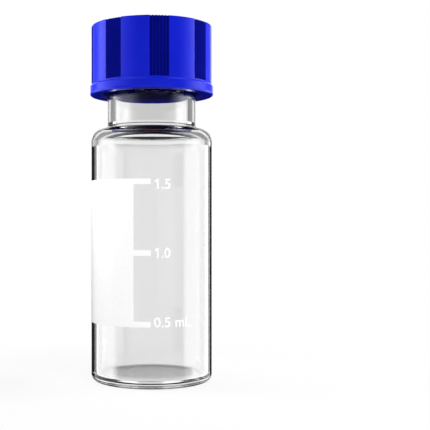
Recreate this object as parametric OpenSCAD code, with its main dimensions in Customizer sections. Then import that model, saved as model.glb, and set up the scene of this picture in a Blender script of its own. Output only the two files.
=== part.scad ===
// Screw-cap sample vial: a clear glass vial with a fired enamel print, closed by a
// moulded screw cap that holds a two-layer septum against the rim.
// Millimetres, +Z up, with the origin at the middle of the flat base.
// Angles around the axis are counted from the front (-Y) towards the right (+X).

/* [Glass vial] */
// Height of the glass from its base to its rim
glass_h = 32; // [30:0.5:45]
// Outside diameter of the body
body_d = 11.6; // [11:0.1:15]
// Wall of the body and of the shoulder
wall_t = 0.6; // [0.4:0.05:1]
// Thickness of the floor
floor_t = 0.75; // [0.5:0.05:1.5]
// Radius of the heel, where the side turns into the base
heel_r = 0.7; // [0.2:0.05:0.8]
// Radius inside, where the cavity's side turns into the floor
floor_corner_r = 0.3; // [0.1:0.05:0.8]
// Radius of the rounding on the shoulder
shoulder_r = 1.1; // [0.9:0.1:1.5]
// Radius of the hollow where the neck rises from the shoulder
neck_root_r = 0.25; // [0.1:0.05:0.4]
// Radius inside, where the cavity narrows to the neck
throat_r = 0.4; // [0.2:0.05:0.6]
// Height of the neck from the shoulder to the rim
neck_h = 7.85; // [6.4:0.05:9]
// Outside diameter of the plain neck
neck_d = 8.5; // [8:0.1:9]
// Wall of the neck
neck_wall_t = 0.75; // [0.6:0.05:1.3]
// Radius on both edges of the rim
rim_r = 0.25; // [0.1:0.05:0.3]

/* [Screw thread] */
// Rise of the thread in one turn
thread_pitch = 1.8; // [1.6:0.1:2]
// Turns of the ridge on the neck
neck_thread_turns = 1.5; // [1:0.25:1.75]
// Distance from the rim down to the upper end of the neck's ridge
neck_thread_drop = 0.95; // [0.9:0.05:1.2]
// Height of a ridge above its wall
thread_depth = 0.35; // [0.25:0.05:0.4]
// Width of a ridge at its crest
thread_crest_w = 0.4; // [0.3:0.05:0.5]
// Slope of a ridge's flanks
flank_angle = 40; // [30:1:45]
// Gap from each crest to the wall that it faces
thread_gap = 0.1; // [0.06:0.01:0.15]
// Gap between the flanks that draw the cap down
flank_gap = 0.08; // [0.05:0.01:0.15]

/* [Screw cap] */
// Wall of the cap outside its thread
cap_wall_t = 1.1; // [0.9:0.05:1.5]
// Thickness of the cap's top
cap_top_t = 1; // [0.8:0.1:1.4]
// Length of the cap below the rim of the glass
skirt_h = 4.6; // [4.25:0.05:5.5]
// Diameter of the hole for the needle
port_d = 6; // [5:0.1:7]
// Height of the flange at the cap's mouth
flange_h = 1; // [0.8:0.05:1.8]
// How far the flange stands out from the side
flange_out = 0.14; // [0.08:0.02:0.3]
// Radius on the flange's lower edge
flange_edge_r = 0.1; // [0.05:0.05:0.4]
// Chamfer inside the mouth
mouth_chamfer = 0.3; // [0.1:0.05:0.4]
// Radius on the cap's top edge
top_edge_r = 0.08; // [0.05:0.01:0.2]

/* [Knurls] */
// Number of knurled bands around the cap
knurl_bands = 8; // [4:1:10]
// Grooves in each band
band_grooves = 6; // [3:1:7]
// Angle from one groove to the next
groove_step = 3; // [2.4:0.1:3.2]
// Depth of a groove
groove_depth = 0.2; // [0.1:0.05:0.3]
// Width of a groove at its bottom
groove_root_w = 0.06; // [0.02:0.01:0.1]
// Width of the crest left between two grooves
groove_crest_w = 0.04; // [0.02:0.01:0.1]
// Distance from the flange up to the lower end of the grooves
groove_end_gap = 0.1; // [0.02:0.01:0.3]
// Angle of the first band from the front
first_band_angle = 7; // [0:0.1:45]

/* [Septum] */
// Thickness of the white silicone layer
silicone_t = 0.8; // [0.6:0.05:1.4]
// Thickness of the red PTFE film
ptfe_t = 0.2; // [0.1:0.05:0.3]
// Gap around the septum inside the cap
septum_gap = 0.2; // [0.05:0.05:0.25]

/* [Enamel print] */
// Thickness of the fired enamel
print_t = 0.03; // [0.02:0.01:0.05]
// Height of the middle of the lowest mark
first_mark_z = 5.97; // [4:0.01:7]
// Distance from one mark to the next
mark_step = 6.485; // [5:0.005:6.6]
// Number of marks
mark_count = 3; // [2:1:3]
// Height of one mark
mark_h = 0.52; // [0.3:0.02:0.8]
// Angle from the front to the free end of the marks
mark_end_angle = -1.5; // [-5:0.5:5]
// Angle from the front to the edge where the marks meet the writing panel
panel_edge_angle = -16.5; // [-30:0.5:-10]
// Angle that the writing panel covers
panel_span = 92; // [60:1:140]

/* [Hidden] */
$fn = 96;
// How far cuts run past a face, and how deep a ridge is rooted in its wall
over = 0.1;

body_r = body_d / 2;
cavity_r = body_r - wall_t;
neck_r = neck_d / 2;
neck_bore_r = neck_r - neck_wall_t;
shoulder_z = glass_h - neck_h;
cavity_top_z = shoulder_z - wall_t;
// The ledge between neck and body holds the shoulder's rounding and the neck's root
shoulder_edge_r = min(shoulder_r, body_r - neck_r - neck_root_r);
cavity_edge_r = max(shoulder_edge_r - wall_t, over);
rim_edge_r = min(rim_r, 0.4 * neck_wall_t);

// The cap's ridge runs in the groove below the neck's ridge, on the same helix
neck_crest_r = neck_r + thread_depth;
cap_crest_r = neck_r + thread_gap;
cap_bore_r = cap_crest_r + thread_depth;
thread_root_w = thread_crest_w + 2 * thread_depth * tan(flank_angle);
crest_overlap = neck_crest_r - cap_crest_r;
ridge_offset = thread_crest_w + crest_overlap * tan(flank_angle) + flank_gap;
neck_thread_z = glass_h - neck_thread_drop - neck_thread_turns * thread_pitch;
// Angle over which a ridge sinks into its wall at each end, and the angle of one facet
run_out = 40;
ridge_step = 7.5;

septum_r = cap_bore_r - septum_gap;
septum_top_z = glass_h + ptfe_t + silicone_t;
cap_bottom_z = glass_h - skirt_h;
cap_top_z = septum_top_z + cap_top_t;
cap_r = cap_bore_r + cap_wall_t;
flange_r = cap_r + flange_out;
flange_top_z = cap_bottom_z + flange_h;
port_r = port_d / 2;
// The cap's ridge starts above the mouth's chamfer and stops under the septum
ridge_end_gap = 0.2;
cap_thread_z = cap_bottom_z + mouth_chamfer + thread_root_w / 2 + ridge_end_gap;
cap_thread_top_z = glass_h - thread_root_w / 2 - ridge_end_gap;
cap_thread_turns = (cap_thread_top_z - cap_thread_z) / thread_pitch;
cap_thread_angle = 360 * (cap_thread_z + ridge_offset - neck_thread_z) / thread_pitch;

groove_mouth_w = cap_r * groove_step * PI / 180 - groove_crest_w;
groove_spread = (groove_mouth_w - groove_root_w) / 2 / groove_depth;

panel_z = first_mark_z - mark_h / 2;
panel_h = (mark_count - 1) * mark_step + mark_h;
// Height of the clear window between two marks
window_h = mark_step - mark_h;

// One step of a ridge's cross-section, from 0 at a sunk end to 1 at full height
function ridge_fade(i, steps) =
    min(1, i * ridge_step / run_out, (steps - i) * ridge_step / run_out);

// The four corners of a ridge's section as [radius, height]; side is 1 outwards, -1 inwards
function ridge_section(root_r, side, fade) =
    let (
        foot_r = root_r - side * over,
        tip_r = root_r + side * (thread_depth * fade - over / 2 * (1 - fade)),
        foot = side * (thread_root_w / 2 + over * tan(flank_angle)),
        tip = side * thread_crest_w / 2
    )
    [[foot_r, -foot], [tip_r, -tip], [tip_r, tip], [foot_r, foot]];

// A helical ridge on a round wall, climbing anticlockwise as seen from above
module thread_ridge(root_r, side, start_z, start_angle, turns) {
    steps = ceil(turns * 360 / ridge_step);
    points = [
        for (i = [0:steps])
            for (corner = ridge_section(root_r, side, ridge_fade(i, steps)))
                let (angle = start_angle + i * ridge_step)
                [
                    corner[0] * cos(angle),
                    corner[0] * sin(angle),
                    start_z + thread_pitch * i * ridge_step / 360 + corner[1]
                ]
    ];
    sides = [
        for (i = [0:steps - 1])
            for (k = [0:3])
                let (near = 4 * i, far = 4 * i + 4, next = (k + 1) % 4)
                for (half = [[near + k, near + next, far + next], [near + k, far + next, far + k]])
                    half
    ];
    last = 4 * steps;
    ends = [[3, 2, 1, 0], [last, last + 1, last + 2, last + 3]];
    polyhedron(points, concat(sides, ends));
}

// Half section of an upright solid of revolution with two round corners
module rounded_profile(radius, bottom, top, bottom_r, top_r) {
    translate([0, bottom + bottom_r])
        square([radius, top - bottom - bottom_r - top_r]);
    translate([0, bottom])
        square([radius - bottom_r, top - bottom - top_r]);
    translate([0, top - 2 * top_r])
        square([radius - top_r, 2 * top_r]);
    translate([radius - bottom_r, bottom + bottom_r])
        circle(bottom_r);
    translate([radius - top_r, top - top_r])
        circle(top_r);
}

// Half section of the corner between a wall at radius and a level at height, outside a
// circle that touches both; it lies above the level where side is 1, below it where -1
module corner_profile(radius, height, corner_r, side) {
    translate([radius, height])
        difference() {
            translate([-over, side > 0 ? -over : -corner_r])
                square(corner_r + over);
            translate([corner_r, side * corner_r])
                circle(corner_r);
        }
}

// Turns a half section around the axis between two angles from the front
module front_arc(from_angle, to_angle) {
    rotate([0, 0, from_angle - 90])
        rotate_extrude(angle = to_angle - from_angle)
            children();
}

// Blown from tube: body, shoulder, threaded neck and flat base are one wall of glass
module glass_vial() {
    color([0.86, 0.93, 0.95, 0.45]) {
        rotate_extrude()
            difference() {
                union() {
                    rounded_profile(body_r, 0, shoulder_z, heel_r, shoulder_edge_r);
                    rounded_profile(neck_r, shoulder_z - wall_t, glass_h, over, rim_edge_r);
                    corner_profile(neck_r, shoulder_z, neck_root_r, 1);
                }
                rounded_profile(cavity_r, floor_t, cavity_top_z, floor_corner_r, cavity_edge_r);
                translate([0, cavity_top_z - over])
                    square([neck_bore_r, glass_h - cavity_top_z + 2 * over]);
                corner_profile(neck_bore_r, cavity_top_z, throat_r, 1);
                corner_profile(neck_bore_r, glass_h, rim_edge_r, -1);
            }
        thread_ridge(neck_r, 1, neck_thread_z, 0, neck_thread_turns);
    }
}

// White enamel fired on the outside: a writing panel, with marks left between the windows
module enamel_print() {
    color("white") {
        difference() {
            front_arc(panel_edge_angle - panel_span, mark_end_angle)
                translate([body_r, panel_z])
                    square([print_t, panel_h]);
            for (i = [1:mark_count - 1])
                front_arc(panel_edge_angle, mark_end_angle + 1)
                    translate([body_r - over, panel_z + i * mark_step - window_h])
                        square([print_t + 2 * over, window_h]);
        }
    }
}

// One V-shaped groove of a knurled band, open at the cap's top
module knurl_groove() {
    root_half = groove_root_w / 2;
    mouth_half = root_half + (groove_depth + over) * groove_spread;
    translate([0, 0, flange_top_z + groove_end_gap])
        linear_extrude(cap_top_z - flange_top_z)
            polygon([
                [cap_r - groove_depth, -root_half], [cap_r + over, -mouth_half],
                [cap_r + over, mouth_half], [cap_r - groove_depth, root_half]
            ]);
}

// Moulded in one shot: top with its port, knurled side, flange and inner thread
module screw_cap() {
    color([0.1, 0.14, 0.85]) {
        difference() {
            rotate_extrude()
                difference() {
                    union() {
                        rounded_profile(cap_r, flange_top_z - 2 * over, cap_top_z, over, top_edge_r);
                        polygon([
                            [0, cap_bottom_z], [flange_r - flange_edge_r, cap_bottom_z],
                            [flange_r, cap_bottom_z + flange_edge_r],
                            [flange_r, flange_top_z - flange_out], [cap_r, flange_top_z],
                            [0, flange_top_z]
                        ]);
                        translate([flange_r - flange_edge_r, cap_bottom_z + flange_edge_r])
                            circle(flange_edge_r);
                    }
                    translate([0, cap_bottom_z - over])
                        square([cap_bore_r, septum_top_z - cap_bottom_z + over]);
                    translate([0, septum_top_z - over])
                        square([port_r, cap_top_t + 2 * over]);
                    polygon([
                        [0, cap_bottom_z - over], [cap_bore_r + mouth_chamfer + over, cap_bottom_z - over],
                        [cap_bore_r, cap_bottom_z + mouth_chamfer], [0, cap_bottom_z + mouth_chamfer]
                    ]);
                }
            for (band = [0:knurl_bands - 1])
                for (i = [0:band_grooves - 1])
                    rotate([0, 0, first_band_angle - 90 + band * 360 / knurl_bands
                        + (i - (band_grooves - 1) / 2) * groove_step])
                        knurl_groove();
        }
        thread_ridge(cap_bore_r, -1, cap_thread_z, cap_thread_angle, cap_thread_turns);
    }
}

// Upper layer of the septum, punched from silicone sheet, held under the cap's top
module septum_silicone() {
    color([0.95, 0.94, 0.92])
        translate([0, 0, glass_h + ptfe_t])
            cylinder(h = silicone_t, r = septum_r);
}

// Lower layer of the septum, a PTFE film bonded to the silicone, that seals on the rim
module septum_ptfe() {
    color([0.55, 0.08, 0.08])
        translate([0, 0, glass_h])
            cylinder(h = ptfe_t, r = septum_r);
}

glass_vial();
enamel_print();
screw_cap();
septum_silicone();
septum_ptfe();
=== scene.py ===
import math

import bpy
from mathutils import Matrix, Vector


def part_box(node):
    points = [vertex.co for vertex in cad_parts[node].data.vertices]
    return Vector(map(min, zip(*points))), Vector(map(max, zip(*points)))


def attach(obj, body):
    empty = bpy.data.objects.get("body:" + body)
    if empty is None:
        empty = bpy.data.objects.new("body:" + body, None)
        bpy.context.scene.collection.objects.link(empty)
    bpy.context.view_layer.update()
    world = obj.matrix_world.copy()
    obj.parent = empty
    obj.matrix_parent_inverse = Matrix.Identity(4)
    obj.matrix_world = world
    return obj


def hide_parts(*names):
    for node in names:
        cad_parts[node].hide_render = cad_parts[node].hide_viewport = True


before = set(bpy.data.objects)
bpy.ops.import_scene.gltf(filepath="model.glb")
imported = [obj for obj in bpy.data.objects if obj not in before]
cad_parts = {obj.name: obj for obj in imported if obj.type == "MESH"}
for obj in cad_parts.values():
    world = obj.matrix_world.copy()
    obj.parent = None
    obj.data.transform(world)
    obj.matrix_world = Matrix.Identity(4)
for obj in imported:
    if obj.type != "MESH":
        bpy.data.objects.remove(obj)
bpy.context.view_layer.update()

mm = 0.001

# Camera: close to the vial and level, with its eye at about half the vial's height, so
# that the cap is seen from a little below and the floor of the vial from a little above.
eye_distance = 87.28
eye_height = 15.33
bpy.ops.object.select_all(action="DESELECT")
bpy.ops.object.camera_add(
    location=(0, -eye_distance * mm, eye_height * mm), rotation=(math.radians(90), 0, 0)
)
camera = bpy.context.object
camera.name = "camera"
camera.data.sensor_width = 36
camera.data.lens = 75.48
camera.data.shift_x = 0.1474
camera.data.shift_y = 0.0144
camera.data.clip_start = 5 * mm
camera.data.clip_end = 10
bpy.context.scene.camera = camera

# Glass vial: a length of clear borosilicate tube, heated and turned on a lathe. The base
# is closed and flattened, the shoulder and neck are rolled in, and the thread is pressed
# into the soft neck, so every edge is fire-rounded and the whole vial is one wall.
glass_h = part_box("glass_vial")[1].z / mm
body_r = 5.8
cavity_r = 5.2
floor_t = 0.75
shoulder_z = 24.15
# Glass above the cavity's ceiling, at the shoulder
ceiling_t = 0.55
throat_z = shoulder_z - ceiling_t
neck_r = 4.25
bore_r = 3.5
# Radii on the edges, up the outside and then down the inside
heel_r = 0.7
shoulder_r = 1.1
neck_root_r = 0.44
rim_r = 0.25
throat_r = 0.3
ceiling_edge_r = 0.65
floor_corner_r = 0.1
# The middle of the base and of the floor, which one face closes
hub_r = 0.4
glass_columns = 256
# The screw thread that the vial and the cap share
thread_pitch = 1.8
thread_depth = 0.35
thread_crest = 0.4
thread_foot = 0.987
# Degrees over which a ridge sinks into its wall at each end
thread_fade = 40
# Height from which the rings lie close enough together to carry a thread
thread_rings_z = 27.8
neck_thread_z = 28.35
neck_thread_turns = 1.5


def turned(name, rings, columns, turn=0.0):
    """A piece turned on a lathe: the first ring is extruded to each (radius, height) in turn."""
    bpy.ops.object.select_all(action="DESELECT")
    bpy.ops.mesh.primitive_circle_add(
        vertices=columns,
        radius=rings[0][0] * mm,
        location=(0, 0, rings[0][1] * mm),
        rotation=(0, 0, math.radians(turn)),
        fill_type="NOTHING",
    )
    piece = bpy.context.object
    piece.name = name
    piece.data.name = name
    bpy.ops.object.mode_set(mode="EDIT")
    bpy.ops.mesh.select_all(action="SELECT")
    for (r0, z0), (r1, z1) in zip(rings, rings[1:]):
        bpy.ops.mesh.extrude_edges_move(
            TRANSFORM_OT_translate={"value": (0, 0, (z1 - z0) * mm)}
        )
        bpy.ops.transform.resize(value=(r1 / r0, r1 / r0, 1))
    bpy.ops.object.mode_set(mode="OBJECT")
    bpy.ops.object.transform_apply(location=True, rotation=True, scale=True)
    return piece


def select_rings(piece, rings, reach=0.004):
    """Selects the edges that run round the piece at any (radius, height), and nothing else."""
    bpy.ops.object.mode_set(mode="EDIT")
    bpy.ops.mesh.select_mode(type="EDGE")
    bpy.ops.mesh.select_all(action="DESELECT")
    bpy.ops.object.mode_set(mode="OBJECT")
    at = {}
    for v in piece.data.vertices:
        r, z = math.hypot(v.co.x, v.co.y) / mm, v.co.z / mm
        for i, (a, b) in enumerate(rings):
            if abs(r - a) < reach and abs(z - b) < reach:
                at[v.index] = i
    for e in piece.data.edges:
        a, b = e.vertices
        e.select = a in at and at[a] == at.get(b)
    bpy.ops.object.mode_set(mode="EDIT")


def round_rings(piece, rings, radius, segments):
    """Rounds the corners at these (radius, height) rings."""
    select_rings(piece, rings)
    bpy.ops.mesh.bevel(
        offset=radius * mm,
        offset_type="OFFSET",
        segments=segments,
        affect="EDGES",
        clamp_overlap=False,
    )
    bpy.ops.object.mode_set(mode="OBJECT")


def ridge(angle, z, start_z, start_angle, turns):
    """A thread's height there, from 0 on the wall to 1 on its crest; angle in degrees."""
    height = 0
    for lap in range(3):
        along = (angle - start_angle) % 360 + 360 * lap
        if along <= turns * 360:
            off = abs(z - start_z - thread_pitch * along / 360)
            flank = (thread_foot / 2 - off) / (thread_foot - thread_crest) * 2
            flank = min(1, max(0, flank))
            fade = min(1, along / thread_fade, (turns * 360 - along) / thread_fade)
            height = max(height, flank * flank * (3 - 2 * flank) * fade)
    return height


neck_rings = [(neck_r, thread_rings_z + 0.1 * i) for i in range(39)]
# The rings between the corners only divide the walls and the flats
vial = turned(
    "vial_glass",
    [(hub_r, 0), (4.9, 0), (body_r, 0), (body_r, 0.9), (body_r, 12), (body_r, 22.9)]
    + [(body_r, shoulder_z), (neck_r, shoulder_z), (neck_r, 24.8), (neck_r, 26.5)]
    + neck_rings
    + [(neck_r, 31.7), (neck_r, glass_h), (bore_r, glass_h), (bore_r, 31.65)]
    + [(bore_r, 28), (bore_r, 24.5), (bore_r, throat_z), (cavity_r, throat_z)]
    + [(cavity_r, 22.4), (cavity_r, 12), (cavity_r, 1.15), (cavity_r, floor_t)]
    + [(4.8, floor_t), (hub_r, floor_t)],
    glass_columns,
)
round_rings(vial, [(body_r, 0)], heel_r, 12)
round_rings(vial, [(body_r, shoulder_z)], shoulder_r, 16)
round_rings(vial, [(neck_r, shoulder_z)], neck_root_r, 8)
round_rings(vial, [(neck_r, glass_h), (bore_r, glass_h)], rim_r, 6)
round_rings(vial, [(bore_r, throat_z)], throat_r, 8)
round_rings(vial, [(cavity_r, throat_z)], ceiling_edge_r, 12)
round_rings(vial, [(cavity_r, floor_t)], floor_corner_r, 4)
for hub_z in (0, floor_t):
    select_rings(vial, [(hub_r, hub_z)])
    bpy.ops.mesh.edge_face_add()
    bpy.ops.object.mode_set(mode="OBJECT")
for v in vial.data.vertices:
    r, z = math.hypot(v.co.x, v.co.y) / mm, v.co.z / mm
    if r > neck_r - 0.01 and 27.7 < z < 31.65:
        angle = math.degrees(math.atan2(v.co.y, v.co.x))
        height = ridge(angle, z, neck_thread_z, 0, neck_thread_turns)
        grown = (neck_r + thread_depth * height) / neck_r
        v.co.x *= grown
        v.co.y *= grown


def finish_mesh(piece, sharp_angle):
    """Merges doubles, turns the faces outwards and shades the piece smooth up to that angle."""
    bpy.ops.object.select_all(action="DESELECT")
    piece.select_set(True)
    bpy.context.view_layer.objects.active = piece
    bpy.ops.object.mode_set(mode="EDIT")
    bpy.ops.mesh.select_all(action="SELECT")
    bpy.ops.mesh.remove_doubles(threshold=0.001 * mm)
    bpy.ops.mesh.normals_make_consistent(inside=False)
    bpy.ops.object.mode_set(mode="OBJECT")
    corners = [v.co for v in piece.data.vertices]
    piece.data.calc_loop_triangles()
    triangles = [[corners[i] for i in t.vertices] for t in piece.data.loop_triangles]
    if sum(a.dot(b.cross(c)) for a, b, c in triangles) < 0:
        bpy.ops.object.mode_set(mode="EDIT")
        bpy.ops.mesh.flip_normals()
        bpy.ops.object.mode_set(mode="OBJECT")
    bpy.ops.object.shade_smooth_by_angle(angle=math.radians(sharp_angle))


finish_mesh(vial, 40)


def colour(code):
    """The linear colour of an sRGB hex value such as 1E28C8."""
    parts = [int(code[i : i + 2], 16) / 255 for i in (0, 2, 4)]
    return [p / 12.92 if p < 0.04045 else ((p + 0.055) / 1.055) ** 2.4 for p in parts] + [1]


def node(tree, kind, settings=None, **inputs):
    """Adds a node with its settings.

    An input is a value, or the socket that feeds it; i0, i1 and so on are inputs by number.
    """
    made = tree.nodes.new(kind)
    for name, value in (settings or {}).items():
        setattr(made, name, value)
    for name, value in inputs.items():
        numbered = name[0] == "i" and name[1:].isdigit()
        slot = made.inputs[int(name[1:]) if numbered else name.replace("_", " ")]
        if isinstance(value, bpy.types.NodeSocket):
            tree.links.new(value, slot)
        else:
            slot.default_value = value
    return made


def new_material(name):
    """An empty node material and its tree."""
    material = bpy.data.materials.new(name)
    material.use_nodes = True
    material.node_tree.nodes.clear()
    return material, material.node_tree


# Borosilicate glass, drawn as tube and fire-polished: colourless and perfectly smooth,
# with faint lengthwise drawing streaks that only just bend what is seen through it.
clear_glass, tree = new_material("borosilicate_glass_drawn")
place = node(tree, "ShaderNodeTexCoord")
along = node(
    tree,
    "ShaderNodeMapping",
    Vector=place.outputs["Object"],
    Scale=(1 / (1.4 * mm), 1 / (1.4 * mm), 1 / (30 * mm)),
)
streaks = node(
    tree, "ShaderNodeTexNoise", Vector=along.outputs[0], Scale=1.0, Detail=2.0
)
drawn = node(
    tree,
    "ShaderNodeBump",
    Strength=0.15,
    Distance=0.01 * mm,
    Height=streaks.outputs["Fac"],
)
glass = node(
    tree,
    "ShaderNodeBsdfPrincipled",
    Base_Color=colour("F9F9F9"),
    Roughness=0.0,
    IOR=1.5,
    Transmission_Weight=1.0,
    Normal=drawn.outputs[0],
)
node(tree, "ShaderNodeOutputMaterial", Surface=glass.outputs[0])
vial.data.materials.append(clear_glass)
# Clear glass lets the lamps' light through, so only the cap and the print throw a shadow
vial.visible_shadow = False
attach(vial, "vial")
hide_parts("glass_vial")

# Enamel print: ceramic ink, screened on the outside of the finished vial and fired in, so
# it stands a few hundredths proud. A writing panel and three marks are one print, and the
# figures that belong to the marks are screened with them.
print_t = 0.03
print_r = body_r + print_t
# How far the print's back lies under the glass's skin, so that no gap shows
print_sink = 0.01
# Angles from the front
panel_from, panel_to, mark_to = -108.5, -16.5, -0.7
mark_h = 0.52
mark_z = [5.97, 12.455, 18.94]


def arc(angle):
    """Length along the outside of the vial for an angle from the front, in millimetres."""
    return math.radians(angle) * body_r


def wrap(piece):
    """Wraps a flat print, drawn in X and Z and facing -Y, round the outside of the vial."""
    for v in piece.data.vertices:
        angle, out = v.co.x / (body_r * mm), body_r * mm - v.co.y
        v.co.x = out * math.sin(angle)
        v.co.y = -out * math.cos(angle)


panel_low, panel_top = mark_z[0] - mark_h / 2, mark_z[2] + mark_h / 2
bpy.ops.object.select_all(action="DESELECT")
panel_strips = 60
bpy.ops.mesh.primitive_grid_add(
    x_subdivisions=panel_strips,
    y_subdivisions=1,
    size=1,
    location=(
        (arc(panel_from) + arc(panel_to)) / 2 * mm,
        0,
        (panel_low + panel_top) / 2 * mm,
    ),
    rotation=(math.radians(90), 0, 0),
)
panel = bpy.context.object
panel.name = "enamel_panel"
panel.data.name = "enamel_panel"
panel.scale = ((arc(panel_to) - arc(panel_from)) * mm, (panel_top - panel_low) * mm, 1)
bpy.ops.object.transform_apply(location=True, rotation=True, scale=True)
bpy.ops.object.mode_set(mode="EDIT")
for level in (
    mark_z[0] + mark_h / 2,
    mark_z[1] - mark_h / 2,
    mark_z[1] + mark_h / 2,
    mark_z[2] - mark_h / 2,
):
    bpy.ops.mesh.select_all(action="SELECT")
    bpy.ops.mesh.bisect(plane_co=(0, 0, level * mm), plane_no=(0, 0, 1), threshold=1e-7)
bpy.ops.mesh.select_mode(type="EDGE")
bpy.ops.mesh.select_all(action="DESELECT")
bpy.ops.object.mode_set(mode="OBJECT")
for e in panel.data.edges:
    a, b = (panel.data.vertices[i].co / mm for i in e.vertices)
    middle = (a + b) / 2
    e.select = (
        abs(middle.x - arc(panel_to)) < 0.01
        and any(abs(middle.z - z) < mark_h / 2 for z in mark_z)
    )
bpy.ops.object.mode_set(mode="EDIT")
mark_steps = 10
for step in range(mark_steps):
    bpy.ops.mesh.extrude_edges_move(
        TRANSFORM_OT_translate={
            "value": ((arc(mark_to) - arc(panel_to)) / mark_steps * mm, 0, 0)
        }
    )
bpy.ops.object.mode_set(mode="OBJECT")
thicken = panel.modifiers.new("thickness", "SOLIDIFY")
thicken.thickness = (print_r - body_r + print_sink) * mm
thicken.offset = 0
bpy.ops.object.modifier_apply(modifier="thickness")
for v in panel.data.vertices:
    v.co.y = -(print_r - body_r) * mm if v.co.y < 0 else print_sink * mm
wrap(panel)
finish_mesh(panel, 40)

# Fired white enamel: glass frit with titanium white, satin, with the faint weave of the
# screen that it was pushed through.
enamel, tree = new_material("ceramic_enamel_fired")
place = node(tree, "ShaderNodeTexCoord")
grain = node(
    tree,
    "ShaderNodeTexNoise",
    Vector=place.outputs["Object"],
    Scale=1 / (0.25 * mm),
    Detail=3.0,
)
screen = node(
    tree,
    "ShaderNodeTexVoronoi",
    Vector=place.outputs["Object"],
    Scale=1 / (0.12 * mm),
)
whiteness = node(
    tree,
    "ShaderNodeValToRGB",
    Fac=grain.outputs["Fac"],
)
whiteness.color_ramp.elements[0].position = 0.3
whiteness.color_ramp.elements[0].color = colour("FAFAFA")
whiteness.color_ramp.elements[1].position = 0.6
whiteness.color_ramp.elements[1].color = colour("FEFEFE")
weave = node(
    tree,
    "ShaderNodeBump",
    Strength=0.08,
    Distance=0.01 * mm,
    Height=screen.outputs["Distance"],
)
shine = node(
    tree,
    "ShaderNodeMapRange",
    Value=grain.outputs["Fac"],
    To_Min=0.3,
    To_Max=0.45,
)
fired = node(
    tree,
    "ShaderNodeBsdfPrincipled",
    Base_Color=whiteness.outputs[0],
    Roughness=shine.outputs[0],
    IOR=1.5,
    Normal=weave.outputs[0],
)
node(tree, "ShaderNodeOutputMaterial", Surface=fired.outputs[0])
panel.data.materials.append(enamel)
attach(panel, "vial")
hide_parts("enamel_print")


def add_flag(piece):
    """Gives a figure 1, which the typeface draws as a bare stroke, its flag at the top left."""
    stem = min(v.co.x for v in piece.data.vertices)
    top = max(v.co.z for v in piece.data.vertices)
    bpy.ops.mesh.primitive_plane_add(size=1)
    flag = bpy.context.object
    # Shares of the figure's height: across from the stroke's left side, and up
    corners = [(-0.24, 0.62), (0.06, 0.74), (-0.24, 0.84), (0.06, 0.98)]
    for v, (across, up) in zip(flag.data.vertices, corners):
        v.co = (stem + across * top, 0, up * top)
    piece.select_set(True)
    bpy.context.view_layer.objects.active = piece
    bpy.ops.object.join()


figure_h = 0.93
# Width of the strips that a figure is cut into, so that it bends round the glass
strip_w = 0.12


def figures(name, words, left, low, width):
    """Plain figures screened on the vial: left edge as arc length, foot and width in mm."""
    bpy.ops.object.select_all(action="DESELECT")
    bpy.ops.object.text_add(rotation=(math.radians(90), 0, 0))
    piece = bpy.context.object
    piece.name = name
    piece.data.body = words
    piece.data.size = 1
    piece.data.offset = 0.02
    piece.data.resolution_u = 6
    bpy.ops.object.convert(target="MESH")
    bpy.ops.object.transform_apply(location=True, rotation=True, scale=True)
    piece = bpy.context.object
    piece.data.name = name
    if words[0] == "1":
        add_flag(piece)
    xs = [v.co.x for v in piece.data.vertices]
    zs = [v.co.z for v in piece.data.vertices]
    for v in piece.data.vertices:
        v.co.x = (left + (v.co.x - min(xs)) / (max(xs) - min(xs)) * width) * mm
        v.co.z = (low + (v.co.z - min(zs)) / (max(zs) - min(zs)) * figure_h) * mm
    bpy.ops.object.mode_set(mode="EDIT")
    cuts = int(width / strip_w)
    for i in range(1, cuts):
        bpy.ops.mesh.select_all(action="SELECT")
        bpy.ops.mesh.bisect(
            plane_co=((left + width * i / cuts) * mm, 0, 0),
            plane_no=(1, 0, 0),
            threshold=1e-7,
        )
    bpy.ops.mesh.select_all(action="SELECT")
    bpy.ops.mesh.remove_doubles(threshold=0.001 * mm)
    bpy.ops.object.mode_set(mode="OBJECT")
    thicken = piece.modifiers.new("thickness", "SOLIDIFY")
    thicken.thickness = (print_r - body_r + print_sink) * mm
    thicken.offset = 0
    bpy.ops.object.modifier_apply(modifier="thickness")
    for v in piece.data.vertices:
        v.co.y = -(print_r - body_r) * mm if v.co.y < 0 else print_sink * mm
    wrap(piece)
    finish_mesh(piece, 30)
    piece.data.materials.append(enamel)
    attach(piece, "vial")
    return piece


figures("figures_upper", "1.5", 0.26, 18.25, 1.47)
figures("figures_middle", "1.0", 0.26, 11.99, 1.47)
figures("figures_lower", "0.5 mL", 0.2, 5.71, 3.6)

# Screw cap: polypropylene, moulded in one shot, with a round hole for the needle, eight
# bands of vertical knurls for the fingers, a flange round the mouth and the thread inside.
cap_low, cap_top = (corner.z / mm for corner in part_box("screw_cap"))
cap_r = 5.8
cap_columns = 480
flange_r = 5.94
flange_out = 0.14
flange_h = 1
flange_top = cap_low + flange_h
flange_edge_r = 0.18
cap_bore = 4.7
mouth_r = 5.0
mouth_chamfer = 0.3
port_r = 3.0
cap_top_t = 1
septum_top = cap_top - cap_top_t
# Radius that takes the sharpness off the cap's hole and mouth
broken_edge_r = 0.05
cap_thread_z = 28.394
cap_thread_angle = 146.7
cap_thread_turns = 1.618
# Angles of the knurls are counted from the front
knurl_low = flange_top + 0.1
groove_step = 3.0
band_step = 45
band_width = 18
band_start = -2.0
groove_depth = 0.2

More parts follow.
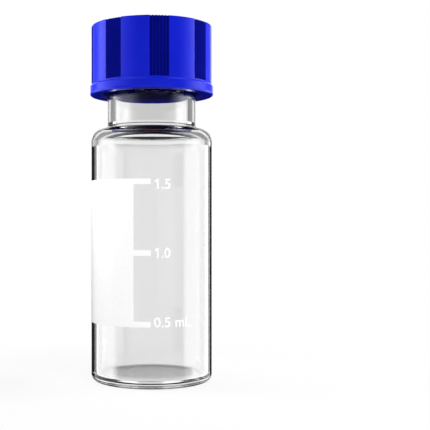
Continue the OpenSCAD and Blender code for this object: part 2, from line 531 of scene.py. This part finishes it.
bore_rings = [(cap_bore, thread_rings_z + 0.12 * i) for i in range(35)]
cap = turned(
    "cap_body",
    [(port_r, cap_top), (3.3, cap_top), (5.6, cap_top), (cap_r, cap_top)]
    + [(cap_r, cap_top - 0.12), (cap_r, 31.3), (cap_r, knurl_low + 0.02), (cap_r, knurl_low)]
    + [(cap_r, flange_top), (flange_r, flange_top - flange_out), (flange_r, cap_low + 0.35)]
    + [(flange_r, cap_low), (5.5, cap_low), (mouth_r, cap_low)]
    + [(cap_bore, cap_low + mouth_chamfer)]
    + bore_rings
    + [(cap_bore, 32.8), (cap_bore, septum_top), (4.5, septum_top), (port_r, septum_top)],
    cap_columns,
    turn=0.25,  # puts a column on every crest and root of the knurls
)
select_rings(cap, [(port_r, cap_top), (port_r, septum_top)])
bpy.ops.mesh.bridge_edge_loops()
bpy.ops.object.mode_set(mode="OBJECT")
for v in cap.data.vertices:
    r, z = math.hypot(v.co.x, v.co.y) / mm, v.co.z / mm
    if abs(r - cap_r) < 0.01 and z > knurl_low + 0.01:
        front = math.degrees(math.atan2(v.co.x, -v.co.y))
        place_in_band = (front - band_start) % band_step
        if place_in_band < band_width:
            off_root = abs(place_in_band % groove_step - groove_step / 2)
            grown = 1 - groove_depth * (1 - off_root / groove_step * 2) / cap_r
            v.co.x *= grown
            v.co.y *= grown
    if abs(r - cap_bore) < 0.01 and 27.75 < z < 32.2:
        angle = math.degrees(math.atan2(v.co.y, v.co.x))
        height = ridge(angle, z, cap_thread_z, cap_thread_angle, cap_thread_turns)
        grown = 1 - thread_depth * height / cap_bore
        v.co.x *= grown
        v.co.y *= grown
round_rings(cap, [(flange_r, cap_low)], flange_edge_r, 6)
cap_rims = [(port_r, cap_top), (port_r, septum_top), (mouth_r, cap_low)]
round_rings(cap, cap_rims, broken_edge_r, 3)
finish_mesh(cap, 32)

# Polypropylene, injection moulded in a polished tool and coloured through: satin, a little
# waxy, with soft flow marks. The knurls and the threaded bore come from spark-eroded
# inserts, so they are dull. Their darker blue is painted shade: it stands in for the shade
# that falls in the deep knurl grooves and inside the cap.
def moulded_blue(name, low, high, roughness, specular, texture_depth):
    """Blue polypropylene between two shades, with the skin that its part of the tool gives."""
    material, tree = new_material(name)
    place = node(tree, "ShaderNodeTexCoord")
    flow = node(
        tree,
        "ShaderNodeTexNoise",
        Vector=place.outputs["Object"],
        Scale=1 / (2.5 * mm),
        Detail=2.0,
    )
    skin = node(
        tree,
        "ShaderNodeTexNoise",
        Vector=place.outputs["Object"],
        Scale=1 / (0.1 * mm),
        Detail=3.0,
    )
    pigment = node(tree, "ShaderNodeValToRGB", Fac=flow.outputs["Fac"])
    pigment.color_ramp.elements[0].position = 0.3
    pigment.color_ramp.elements[0].color = colour(low)
    pigment.color_ramp.elements[1].position = 0.7
    pigment.color_ramp.elements[1].color = colour(high)
    shine = node(
        tree,
        "ShaderNodeMapRange",
        Value=flow.outputs["Fac"],
        To_Min=roughness - 0.03,
        To_Max=roughness + 0.03,
    )
    texture = node(
        tree,
        "ShaderNodeBump",
        Strength=0.15,
        Distance=texture_depth * mm,
        Height=skin.outputs["Fac"],
    )
    plastic = node(
        tree,
        "ShaderNodeBsdfPrincipled",
        Base_Color=pigment.outputs[0],
        Roughness=shine.outputs[0],
        IOR=1.49,
        Specular_IOR_Level=specular,
        Normal=texture.outputs[0],
    )
    node(tree, "ShaderNodeOutputMaterial", Surface=plastic.outputs[0])
    return material


cap.data.materials.append(
    moulded_blue("polypropylene_moulded_blue", "0A19B6", "0C1DBE", 0.2, 0.3, 0.01)
)
# The second, darker blue is painted shade for the knurl grooves and the bore inside the cap
cap.data.materials.append(
    moulded_blue("polypropylene_eroded_blue_painted_shade", "020A7E", "030D8A", 0.6, 0.1, 0.02)
)
for face in cap.data.polygons:
    middle = face.center / mm
    r = math.hypot(middle.x, middle.y)
    front = math.degrees(math.atan2(middle.x, -middle.y))
    in_band = (front - band_start) % band_step < band_width
    side = r > cap_r - groove_depth - 0.02 and knurl_low + 0.01 < middle.z < cap_top - 0.01
    # The faces round the threaded bore and its mouth chamfer take the darker blue as painted
    # shade
    bore_painted_shade = abs(r - cap_bore) < 0.4 and cap_low + 0.02 < middle.z < septum_top - 0.01
    face.material_index = 1 if in_band and side or bore_painted_shade else 0
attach(cap, "cap")
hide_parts("screw_cap")

# Septum: a disc punched from a bonded sheet, white silicone above and red PTFE film below.
# The silicone seals round the needle, and the film faces the sample and sits on the rim.
septum_r = 4.5
disc_columns = 160


def disc(name, cad_node, edge):
    """A punched disc the size of its CAD node, with its edges just broken."""
    low, high = (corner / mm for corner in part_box(cad_node))
    bpy.ops.object.select_all(action="DESELECT")
    bpy.ops.mesh.primitive_cylinder_add(
        vertices=disc_columns,
        radius=septum_r * mm,
        depth=(high.z - low.z) * mm,
        location=(0, 0, (low.z + high.z) / 2 * mm),
    )
    piece = bpy.context.object
    piece.name = name
    piece.data.name = name
    bpy.ops.object.transform_apply(location=True, rotation=True, scale=True)
    round_rings(piece, [(septum_r, low.z), (septum_r, high.z)], edge, 3)
    finish_mesh(piece, 40)
    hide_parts(cad_node)
    return piece


silicone_disc = disc("septum_silicone_disc", "septum_silicone", 0.06)
film_disc = disc("septum_film_disc", "septum_ptfe", 0.03)

# Silicone rubber, calendered sheet: milky white and matt, with a fine dusty bloom.
white_rubber, tree = new_material("silicone_rubber_sheet")
place = node(tree, "ShaderNodeTexCoord")
bloom = node(
    tree,
    "ShaderNodeTexNoise",
    Vector=place.outputs["Object"],
    Scale=1 / (0.6 * mm),
    Detail=4.0,
)
milk = node(tree, "ShaderNodeValToRGB", Fac=bloom.outputs["Fac"])
milk.color_ramp.elements[0].color = colour("E6E4E2")
milk.color_ramp.elements[1].color = colour("F4F3F1")
pores = node(
    tree,
    "ShaderNodeBump",
    Strength=0.2,
    Distance=0.02 * mm,
    Height=bloom.outputs["Fac"],
)
rubber = node(
    tree,
    "ShaderNodeBsdfPrincipled",
    Base_Color=milk.outputs[0],
    Roughness=0.6,
    IOR=1.41,
    Normal=pores.outputs[0],
)
node(tree, "ShaderNodeOutputMaterial", Surface=rubber.outputs[0])
silicone_disc.data.materials.append(white_rubber)
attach(silicone_disc, "septum")

# PTFE film, pigmented red and skived from a block, so it is silky and carries the knife's
# fine parallel lines.
red_film, tree = new_material("ptfe_film_skived_red")
place = node(tree, "ShaderNodeTexCoord")
knife = node(
    tree,
    "ShaderNodeMapping",
    Vector=place.outputs["Object"],
    Scale=(1 / (0.12 * mm), 1 / (6 * mm), 1 / (6 * mm)),
)
lines = node(
    tree, "ShaderNodeTexNoise", Vector=knife.outputs[0], Scale=1.0, Detail=2.0
)
red = node(tree, "ShaderNodeValToRGB", Fac=lines.outputs["Fac"])
red.color_ramp.elements[0].color = colour("8A1014")
red.color_ramp.elements[1].color = colour("A0181C")
skived = node(
    tree,
    "ShaderNodeBump",
    Strength=0.2,
    Distance=0.01 * mm,
    Height=lines.outputs["Fac"],
)
film = node(
    tree,
    "ShaderNodeBsdfPrincipled",
    Base_Color=red.outputs[0],
    Roughness=0.4,
    IOR=1.35,
    Normal=skived.outputs[0],
)
node(tree, "ShaderNodeOutputMaterial", Surface=film.outputs[0])
film_disc.data.materials.append(red_film)
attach(film_disc, "septum")


# Studio: white paper and a white surround, seen directly or straight through the glass. A
# reflection finds a room instead: a tall white card at each side, and behind the camera a
# dim wall between two dark strips. Dull surfaces get an even, softer fill.
card_glow = 1.3
room_fill = 0.3
floor_fill = 0.8
# What the surround loses on the way through the glass, at and below eye level
seen_through = 0.94
# Brightness of the room as a share of a card's, by degrees from the camera to the right
low_room = [
    (-180, 0.01),
    (-141, 0.02),
    (-137.5, 1.17),
    (-76, 1.17),
    (-74, 0.03),
    (-50, 0.03),
    (-44, 0.27),
    (42, 0.27),
    (48, 0.03),
    (66.5, 0.03),
    (68.5, 1.17),
    (146, 1.17),
    (150, 0.01),
]
# The same a little above eye level, where the cards fade out and the back wall is white
high_room = [
    (-180, 0.9),
    (-160, 0.9),
    (-152, 0.2),
    (-134, 0.15),
    (-124, 0.3),
    (-114, 1.4),
    (-105, 1.5),
    (-95, 1.0),
    (-60, 0.9),
    (-50, 0.5),
    (-30, 0.08),
    (0, 0.04),
    (50, 0.04),
    (64, 0.3),
    (78, 0.8),
    (88, 1.8),
    (105, 1.4),
    (118, 0.5),
    (125, 0.15),
    (150, 0.2),
    (158, 0.9),
]
# A narrow grey screen hangs in front of the back wall: 1 where it is
screen_place = [(-180, 1), (-173.5, 1), (-172, 0), (170.5, 0), (172, 1)]
screen_shade = 0.745


def ray_is(tree, kind):
    """1 where the ray that looks has had a Glossy, Diffuse or Transmission bounce."""
    path = node(tree, "ShaderNodeLightPath")
    return node(
        tree,
        "ShaderNodeMath",
        {"operation": "GREATER_THAN"},
        i0=path.outputs[kind + " Depth"],
        i1=0.5,
    ).outputs[0]


def chosen(tree, factor, a, b):
    """The level a, or the level b where the factor is 1."""
    return node(
        tree, "ShaderNodeMix", {"data_type": "FLOAT"}, Factor=factor, A=a, B=b
    ).outputs[0]


def round_room(tree, direction, steps):
    """A ramp all round the room, from steps of degrees from the camera to the right."""
    bearing = node(
        tree, "ShaderNodeTexGradient", {"gradient_type": "RADIAL"}, Vector=direction
    )
    ramp = node(tree, "ShaderNodeValToRGB", Fac=bearing.outputs["Fac"])
    for angle, share in steps:
        stop = ramp.color_ramp.elements.new((angle + 90) / 360 % 1)
        stop.color = (share, share, share, 1)
    for end in (0, -1):
        side = ramp.color_ramp.elements[1 if end == 0 else -2].color
        ramp.color_ramp.elements[end].color = side
    return ramp.outputs[0]


# The paper gives way to the surround between these distances from the vial's axis
paper_r = 5
surround_r = 32
# Share of the surround that is mixed in even at the vial's foot
least_surround = 0.74
floor_w = 8
floor_gap = 0.02
bpy.ops.object.select_all(action="DESELECT")
bpy.ops.mesh.primitive_plane_add(size=floor_w, location=(0, 0, -floor_gap * mm))
floor = bpy.context.object
floor.name = "paper_floor"
bpy.ops.object.transform_apply(location=True)
paper, tree = new_material("paper_sheet_matt")
place = node(tree, "ShaderNodeTexCoord")
fibre = node(
    tree,
    "ShaderNodeTexNoise",
    Vector=place.outputs["Object"],
    Scale=1 / (0.8 * mm),
    Detail=4.0,
)
tone = node(tree, "ShaderNodeValToRGB", Fac=fibre.outputs["Fac"])
tone.color_ramp.elements[0].color = colour("EEEEEE")
tone.color_ramp.elements[1].color = colour("F2F2F2")
sheet = node(
    tree,
    "ShaderNodeBsdfPrincipled",
    Base_Color=tone.outputs[0],
    Roughness=0.9,
    Specular_IOR_Level=0.1,
)
glass_loss = chosen(tree, ray_is(tree, "Transmission"), 1.0, seen_through)
surround = node(
    tree,
    "ShaderNodeEmission",
    Color=(1, 1, 1, 1),
    Strength=chosen(tree, ray_is(tree, "Diffuse"), glass_loss, floor_fill),
)
reach = node(
    tree, "ShaderNodeVectorMath", {"operation": "LENGTH"}, Vector=place.outputs["Object"]
)
away = node(
    tree,
    "ShaderNodeMapRange",
    {"interpolation_type": "SMOOTHSTEP"},
    Value=reach.outputs["Value"],
    From_Min=paper_r * mm,
    From_Max=surround_r * mm,
    To_Min=least_surround,
)
ground = node(
    tree, "ShaderNodeMixShader", i0=away.outputs[0], i1=sheet.outputs[0], i2=surround.outputs[0]
)
# A reflection looks through the paper into the room
gone = node(tree, "ShaderNodeBsdfTransparent")
ground = node(
    tree,
    "ShaderNodeMixShader",
    i0=ray_is(tree, "Glossy"),
    i1=ground.outputs[0],
    i2=gone.outputs[0],
)
node(tree, "ShaderNodeOutputMaterial", Surface=ground.outputs[0])
paper.cycles.emission_sampling = "NONE"
floor.data.materials.append(paper)

world = bpy.data.worlds.new("studio_room")
world.use_nodes = True
world.cycles.sampling_method = "NONE"
bpy.context.scene.world = world
tree = world.node_tree
tree.nodes.clear()
place = node(tree, "ShaderNodeTexCoord")
ways = node(tree, "ShaderNodeSeparateXYZ", Vector=place.outputs["Generated"])


def risen(low, high, end, start=0.0):
    """From start to end between directions that point up by low and by high (sines)."""
    return node(
        tree,
        "ShaderNodeMapRange",
        {"interpolation_type": "SMOOTHSTEP"},
        Value=ways.outputs["Z"],
        From_Min=low,
        From_Max=high,
        To_Min=start,
        To_Max=end,
    ).outputs[0]


def maths(operation, a, b):
    """One sum on two values."""
    return node(tree, "ShaderNodeMath", {"operation": operation}, i0=a, i1=b).outputs[0]


# 1 from a little above eye level, where the upper ring of the room begins
above = risen(0.085, 0.105, 1.0)
cards = chosen(
    tree,
    above,
    round_room(tree, place.outputs["Generated"], low_room),
    round_room(tree, place.outputs["Generated"], high_room),
)
screen = round_room(tree, place.outputs["Generated"], screen_place)
# A reflection finds the screen dark at its foot and clearer higher up
glow = maths("MULTIPLY", cards, card_glow)
glow = chosen(tree, screen, glow, maths("MULTIPLY", glow, risen(0.12, 0.21, 0.6)))
# Through the glass the screen is a grey band, from a little above eye level to its top
shade = maths("MULTIPLY", above, risen(0.145, 0.16, 0.0, 1.0))
shade = maths("MULTIPLY", maths("MULTIPLY", screen, shade), ray_is(tree, "Transmission"))
level = chosen(tree, above, seen_through, 1.0)
level = chosen(tree, ray_is(tree, "Transmission"), 1.0, level)
level = chosen(tree, shade, level, screen_shade)
level = chosen(tree, ray_is(tree, "Glossy"), level, glow)
level = chosen(tree, ray_is(tree, "Diffuse"), level, room_fill)
room = node(tree, "ShaderNodeBackground", Color=(1, 1, 1, 1), Strength=level)
node(tree, "ShaderNodeOutputWorld", Surface=room.outputs[0])


def softbox(name, azimuth, distance, height, wide, tall, radiance, aim):
    """A soft lamp aimed at a height; azimuth from the camera to the right, sizes in mm."""
    a = math.radians(azimuth)
    spot = (
        distance * math.sin(a) * mm,
        -distance * math.cos(a) * mm,
        height * mm,
    )
    tilt = math.atan2(height - aim, distance)
    bpy.ops.object.light_add(type="AREA", location=spot)
    lamp = bpy.context.object
    lamp.name = name
    lamp.rotation_euler = (math.pi / 2 - tilt, 0, a)
    lamp.data.shape = "RECTANGLE"
    lamp.data.size = wide * mm
    lamp.data.size_y = tall * mm
    lamp.data.energy = radiance * math.pi * wide * tall * mm * mm
    lamp.visible_camera = False
    lamp.visible_glossy = False
    lamp.visible_transmission = False
    return lamp


softbox("softbox_left", -85, 45, 45, 40, 40, 1.0, 25)
softbox("softbox_right", 88, 45, 45, 40, 40, 2.3, 25)
softbox("cap_light_left", -95, 22, 32, 14, 14, 10.5, 38)
softbox("cap_light_right", 100, 22, 35, 14, 20, 6.1, 30)
softbox("softbox_front", 12, 260, 200, 220, 220, 4.5, 15)

bpy.context.scene.view_settings.view_transform = "Standard"
